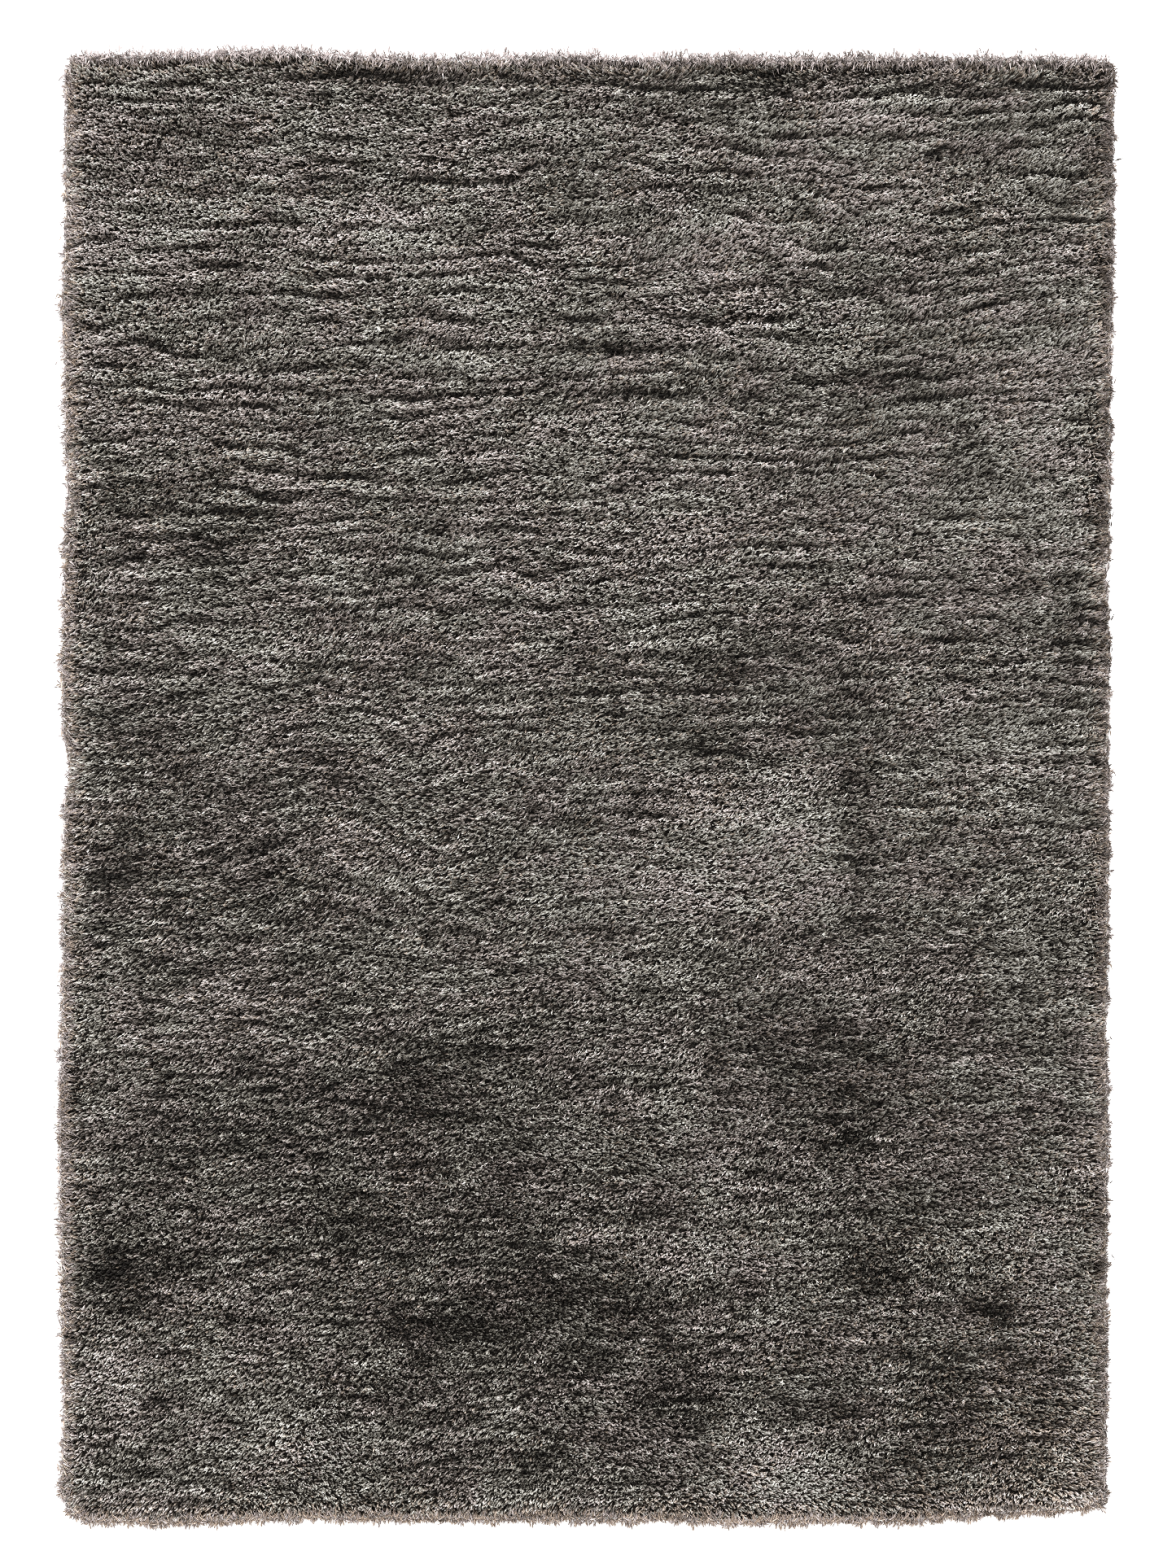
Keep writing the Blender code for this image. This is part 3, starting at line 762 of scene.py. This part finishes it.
def ground_cloth(material):
    """The woven ground, under the pile."""
    bm = bmesh.new()
    bmesh.ops.create_grid(bm, x_segments=GROUND_COLUMNS, y_segments=GROUND_ROWS, size=0.5)
    bmesh.ops.scale(bm, vec=(GROUND_WIDTH, GROUND_LENGTH, 1.0), verts=bm.verts)
    sheet = bmesh.ops.extrude_face_region(bm, geom=bm.faces[:])["geom"]
    lifted = [item for item in sheet if isinstance(item, bmesh.types.BMVert)]
    bmesh.ops.translate(bm, vec=(0.0, 0.0, GROUND_THICKNESS), verts=lifted)
    bmesh.ops.recalc_face_normals(bm, faces=bm.faces)
    return add_piece("ground_cloth", mesh_of("ground_cloth", bm), material)


def pile_foot(material):
    """The matted foot of the pile, a closed slab in painted deep shade, which shuts the gaps
    between the tufts.
    """
    bm = bmesh.new()
    bmesh.ops.create_grid(bm, x_segments=FOOT_COLUMNS, y_segments=FOOT_ROWS, size=1.0)
    bmesh.ops.scale(bm, vec=(FOOT_HALF_WIDTH, FOOT_HALF_LENGTH, 1.0), verts=bm.verts)
    places = np.array([vert.co for vert in bm.verts])
    x, y = into_outline(places[:, 0], places[:, 1])
    for vert, place in zip(bm.verts, np.stack([x, y, foot_height(x, y)], 1)):
        vert.co = place
    rim = [edge for edge in bm.edges if edge.is_boundary]
    grown = bmesh.ops.extrude_edge_only(bm, edges=rim)["geom"]
    for vert in (item for item in grown if isinstance(item, bmesh.types.BMVert)):
        vert.co.z = FOOT_BOTTOM
    bmesh.ops.edgeloop_fill(bm, edges=[edge for edge in bm.edges if edge.is_boundary])
    bmesh.ops.recalc_face_normals(bm, faces=bm.faces)
    mesh = mesh_of("pile_foot", bm)
    mesh.shade_smooth()
    return add_piece("pile_foot", mesh, material)


# Many yarn ends: their roots and tips, how far they arch up, and how thick, light and hued each is.
YarnEnds = namedtuple("YarnEnds", "roots tips arch thickness tone hue")


def yarn_end():
    """A leaf folded along its ridge: how far along it each corner is, the corner's place round its
    line, how far out of the shade it lies, and its triangles."""
    bm = bmesh.new()
    foot, left, right, tip = [bm.verts.new(corner[:3]) for corner in YARN_END]
    bm.faces.new((foot, left, tip))
    bm.faces.new((foot, tip, right))
    bm.verts.index_update()
    points = np.array([vert.co for vert in bm.verts])
    triangles = np.array([[vert.index for vert in face.verts] for face in bm.faces])
    bm.free()
    return points[:, 0], points[:, 1:], np.array(YARN_END)[:, 3], triangles


def unit(vectors):
    """Vectors, one in each row, brought to length 1."""
    return vectors / (np.linalg.norm(vectors, axis=1, keepdims=True) + TINY)


def plant(name, ends, shade_share, rng):
    """Join yarn ends into one mesh, with each one's shade and hue, and how far out of the pile's
    painted shade it lies, as its UV map. The ends reach into a share of that painted shade."""
    along, round_it, out_of_shade, triangles = yarn_end()
    run = ends.tips - ends.roots
    side = unit(np.cross((0.0, 0.0, 1.0), run))
    lift = unit(np.cross(run, side))
    roll = rng.normal(0, YARN_ROLL, len(run))[:, None]
    first = np.cos(roll) * side + np.sin(roll) * lift
    second = np.cos(roll) * lift - np.sin(roll) * side
    middle = ends.roots[:, None] + run[:, None] * along[None, :, None]
    middle[:, :, 2] += ends.arch[:, None] * (4 * along * (1 - along))[None]
    around = first[:, None] * round_it[None, :, :1] + second[:, None] * round_it[None, :, 1:]
    points = middle + around * (ends.thickness / 2)[:, None, None]
    points[:, :, 2] = np.maximum(points[:, :, 2], LOWEST_YARN)

    starts = (np.arange(len(run)) * len(along))[:, None, None]
    faces = (triangles[None] + starts).reshape(-1, 3)
    mesh = bpy.data.meshes.new(name)
    mesh.from_pydata(points.reshape(-1, 3), [], faces)
    shade = np.clip(ends.tone, SHADE_MARGIN, 1 - SHADE_MARGIN)[:, None]
    shade = shade + SHADE_STRIP * round_it[None, :, 0]
    # V: how deep each corner lies in the painted shade, from foot to tip.
    height = HUE_MARGIN + (1 - 2 * HUE_MARGIN) * (1 - shade_share * (1 - out_of_shade))
    lengths = (ends.hue[:, None] + np.broadcast_to(height, shade.shape)) / len(YARN_HUES)
    uv = np.stack([shade, lengths], axis=2).reshape(-1, 2)
    layer = mesh.uv_layers.new(name="OFBake")
    layer.data.foreach_set("uv", uv[faces.reshape(-1)].astype(np.float32).reshape(-1))
    return mesh


def tuft_places(rng):
    """Where the tufts rise from the matted foot, evenly but not in rows."""
    width, length = 2 * (HALF_WIDTH - RIM_STRIP), 2 * (HALF_LENGTH - RIM_STRIP)
    columns, rows = round(width / TUFT_PITCH), round(length / TUFT_PITCH)
    x, y = np.meshgrid(np.arange(columns) + 0.5, np.arange(rows)[::-1] + 0.5)
    x = (x + rng.uniform(-0.5, 0.5, x.shape)) / columns - 0.5
    y = (y + rng.uniform(-0.5, 0.5, y.shape)) / rows - 0.5
    return x.ravel() * width, y.ravel() * length


def splay(root, tip, half_size):
    """Along X or Y, move the tips of the outermost tufts out over the rim."""
    near = soft_bump((half_size - RIM_STRIP - np.abs(root)) / RIM_SPLAY_STRIP)
    most = half_size - RIM_TIP_INSET
    return np.clip(tip + RIM_SPLAY * near * np.sign(root), -most, most)


def tuft_angles(x, y, rng):
    """Which way each tuft lies, as an angle from X."""
    turn = rng.normal(0, TUFT_TURN, x.shape) * (1 + UPRIGHT_TURN * upright(x, y))
    to_right = TO_RIGHT + TO_RIGHT_SWING * np.clip(drift(x, y, TO_RIGHT_UNEVEN) + x, -1, 1)
    to_left = rng.uniform(0, 1, x.shape) > to_right
    return LAY_ANGLE + drift(x, y, LAY_UNEVEN) + turn + np.pi * to_left


def tuft_lines(rng):
    """The tufts' roots and tips, and how far each leans."""
    x, y = tuft_places(rng)
    angle = tuft_angles(x, y, rng)
    lean = TUFT_LEAN * rng.uniform(*TUFT_LEAN_SHARES, x.shape) * (1 - UPRIGHT_LEAN * upright(x, y))
    tip_x, tip_y = x + lean * np.cos(angle), y + lean * np.sin(angle)
    pull_x, pull_y = clump_pull(tip_x, tip_y)
    tip_x = splay(x, tip_x + pull_x, HALF_WIDTH)
    tip_y = splay(y, tip_y + pull_y, HALF_LENGTH)
    outline_x, outline_y = into_outline(tip_x, tip_y)
    x, y = x + outline_x - tip_x, y + outline_y - tip_y
    tip_x, tip_y = outline_x, outline_y
    tip_z = pile_height(tip_x, tip_y) + TUFT_RAGGED * rng.normal(0, 1, x.shape)
    tip_z = np.maximum(tip_z + CLUMP_RISE * drift(tip_x, tip_y, CLUMPS), TUFT_LOWEST_TIP)
    root_z = np.maximum(foot_height(x, y) - TUFT_BED, TUFT_LOWEST_ROOT)
    return np.stack([x, y, root_z], 1), np.stack([tip_x, tip_y, tip_z], 1), lean


def tuft_tones(x, y, rng):
    """How light each tuft is, by the place of its tip."""
    evenness = 1 - UPRIGHT_EVENNESS * upright(x, y)
    tone = TONE_MIDDLE + nap_tone_and_painted_light(x, y) + rng.normal(0, TONE_UNEVEN, x.shape) * evenness
    return tone + drift(x, y, TONE_CLUMPS) * evenness


def tuft_thicknesses(x, y, rng):
    """How thick each tuft's yarn looks, by the place of its root."""
    thickness = YARN_THICKNESS * rng.uniform(*YARN_THICKNESS_SHARES, x.shape)
    thickness *= 1 + UPRIGHT_THICKNESS * upright(x, y)
    return thickness * (1 + YARN_FULLNESS * np.clip(y / HALF_LENGTH, 0, 1))


def tuft_hues(x, y, rng):
    """Which of the melange's hues each tuft has, by the place of its tip."""
    rosy = ROSY_SHARE + drift(x, y, ROSY_UNEVEN)
    hue = np.where(rng.uniform(0, 1, x.shape) < rosy, ROSE, OLIVE)
    hue[rng.uniform(0, 1, x.shape) < GREY_SHARE] = GREY
    hue[rng.uniform(0, 1, x.shape) < BEIGE_SHARE * warm(x, y)] = BEIGE
    return hue


def pile_bands(material):
    """The pile's tufts, in bands across the rug."""
    rng = np.random.default_rng(PILE_SEED)
    roots, tips, lean = tuft_lines(rng)
    tone = tuft_tones(tips[:, 0], tips[:, 1], rng)
    thickness = tuft_thicknesses(roots[:, 0], roots[:, 1], rng)
    hue = tuft_hues(tips[:, 0], tips[:, 1], rng)
    tufts = YarnEnds(roots, tips, TUFT_ARCH * lean, thickness, tone, hue)
    bands = []
    for number, chosen in enumerate(np.array_split(np.arange(len(tone)), BAND_COUNT)):
        name = f"pile_band_{number + 1}"
        band = YarnEnds(*(column[chosen] for column in tufts))
        bands.append(add_piece(name, plant(name, band, PILE_SHADE, rng), material))
    return bands


def rim_walk(rng):
    """Places along the rim: how far round it they are, clockwise from the upper left corner, and
    their x and y in a true rectangle."""
    width, length = 2 * HALF_WIDTH, 2 * HALF_LENGTH
    perimeter = 2 * (width + length)
    uneven = rng.uniform(-0.5, 0.5, RIM_STRANDS)
    walk = (np.arange(RIM_STRANDS) + uneven) * perimeter / RIM_STRANDS % perimeter
    corners = np.array([0, width, width + length, 2 * width + length, perimeter])
    x = np.interp(walk, corners, HALF_WIDTH * np.array([-1, 1, 1, -1, -1]))
    y = np.interp(walk, corners, HALF_LENGTH * np.array([1, 1, -1, -1, 1]))
    return walk, x, y


def rim_side(x, y):
    """The row of RIM_SIDES for each place along the rim."""
    on_flank = np.abs(np.abs(x) - HALF_WIDTH) < np.abs(np.abs(y) - HALF_LENGTH)
    return np.where(on_flank, np.where(x < 0, LEFT, RIGHT), np.where(y > 0, TOP, BOTTOM))


def of_side(column, side):
    """One column of RIM_SIDES, for each strand by its side."""
    return np.array([getattr(row, column) for row in RIM_SIDES])[side]


def rim_lines(rng):
    """The rim's strands: their roots and tips, how far they arch up, the row of RIM_SIDES for each,
    and its tier, from 0 on the floor to 1 on top of the pile's rim."""
    walk, x, y = rim_walk(rng)
    side = rim_side(x, y)
    x, y = into_outline(x, y)
    out_x = x - np.clip(x, RIM_FAN - HALF_WIDTH, HALF_WIDTH - RIM_FAN)
    out_y = y - np.clip(y, RIM_FAN - HALF_LENGTH, HALF_LENGTH - RIM_FAN)
    angle = np.arctan2(out_y, out_x) + rng.normal(0, RIM_TURN, x.shape)
    tier = rng.uniform(0, 1, x.shape)
    tier_away = tier * RIM_CLUMPS.size_y
    ragged = of_side("ragged", side) * np.clip(rng.normal(0, 1, x.shape), *RIM_RAGGED_LIMITS)
    reach = RIM_PAST + of_side("reach", side) + ragged - RIM_DRAWN_BACK * tier**2
    reach += drift(walk, tier_away, RIM_CLUMPS)
    angle += drift(walk, tier_away, RIM_CLUMP_TURNS)
    out = np.stack([np.cos(angle), np.sin(angle)], 1)
    tips = np.stack([x, y], 1) + out * reach[:, None]
    length = RIM_LENGTH * rng.uniform(*RIM_LENGTH_SHARES, x.shape)
    roots = tips - out * length[:, None]
    tip_z = RIM_TIP_FLOOR + RIM_TIP_LIFT * tier + RIM_TIP_RAGGED * rng.uniform(0, 1, x.shape)
    root_z = RIM_ROOT_FLOOR + RIM_ROOT_LIFT * tier
    arch = RIM_ARCH + RIM_ARCH_UNEVEN * rng.uniform(0, 1, x.shape)
    return np.column_stack([roots, root_z]), np.column_stack([tips, tip_z]), arch, side, tier


def rim_of_strands(material):
    """Strands that hang out over the ground's edge to the floor, all round the rug."""
    rng = np.random.default_rng(RIM_SEED)
    roots, tips, arch, side, tier = rim_lines(rng)
    tone = of_side("tone", side) + rng.normal(0, RIM_TONE_UNEVEN, tier.shape)
    tone += (RIM_NAP_AND_LIGHT_FLOOR + RIM_NAP_AND_LIGHT_GAIN * tier) * nap_tone_and_painted_light(tips[:, 0], tips[:, 1])
    tone += RIM_TONE_FLOOR + (RIM_TONE_TOP - RIM_TONE_FLOOR) * tier
    hue = np.where(rng.uniform(0, 1, tier.shape) < of_side("beige", side), BEIGE, ROSE)
    thickness = RIM_THICKNESS * rng.uniform(*RIM_THICKNESS_SHARES, tier.shape)
    strands = YarnEnds(roots, tips, arch, thickness, tone, hue)
    return add_piece("rim_strands", plant("rim_strands", strands, RIM_SHADE, rng), material)


# ---- Studio ----
PHOTO_HEIGHT = 1927  # the picture's height, in pixels
PIXEL = 0.001368  # how much of the rug one of its pixels covers
RUG_LEFT_OF_MIDDLE, RUG_BELOW_MIDDLE = 2.5, 5.5  # the rug's middle from the picture's, in pixels
RUG_TURN = math.radians(0.22)  # how far the rug lies turned in the picture
LENS, SENSOR = 100.0, 36.0  # millimetres
FLOOR_HALF_SIZE = 12.0
KEY_STRENGTH = 4.4
KEY_SPREAD = math.radians(14)  # broad enough for soft shadows
KEY_TURNS = (math.radians(-54), 0.0, math.radians(-8))  # it comes from beyond the upper end
FILL_STRENGTH = 1.20
PIXEL_FILTER = 0.80  # narrow, to keep the single tips crisp


def studio():
    """A white floor, one broad soft light from beyond the rug's upper end, and even fill."""
    scene = bpy.context.scene
    bm = bmesh.new()
    bmesh.ops.create_grid(bm, x_segments=1, y_segments=1, size=FLOOR_HALF_SIZE)
    floor = bpy.data.objects.new("floor", mesh_of("floor", bm))
    scene.collection.objects.link(floor)
    floor.data.materials.append(white_floor())

    key = bpy.data.lights.new("key", "SUN")
    key.energy = KEY_STRENGTH
    key.angle = KEY_SPREAD
    lamp = bpy.data.objects.new("key", key)
    lamp.rotation_euler = KEY_TURNS
    scene.collection.objects.link(lamp)

    world = bpy.data.worlds.new("studio")
    scene.world = world
    world.use_nodes = True
    background = world.node_tree.nodes["Background"]
    background.inputs["Color"].default_value = linear("#fffdfb")
    background.inputs["Strength"].default_value = FILL_STRENGTH
    scene.view_settings.view_transform = "Standard"
    scene.view_settings.look = "None"
    scene.cycles.use_denoising = False  # it would smear the single tips
    scene.cycles.filter_width = PIXEL_FILTER


def camera():
    """Straight down on the rug with a long lens, framed as in the picture."""
    scene = bpy.context.scene
    data = bpy.data.cameras.new("camera")
    data.lens = LENS
    data.sensor_width = SENSOR
    eye = bpy.data.objects.new("camera", data)
    scene.collection.objects.link(eye)
    height = PHOTO_HEIGHT * PIXEL * LENS / SENSOR
    eye.location = (RUG_LEFT_OF_MIDDLE * PIXEL, RUG_BELOW_MIDDLE * PIXEL, height + RIM_HEIGHT)
    eye.rotation_euler = (0.0, 0.0, RUG_TURN)
    scene.camera = eye


def main():
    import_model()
    studio()
    camera()
    yarn = shag_yarn()
    ground = ground_cloth(woven_ground())
    foot = pile_foot(matted_yarn_painted_shade())
    bands = pile_bands(yarn)
    rim = rim_of_strands(yarn)


main()
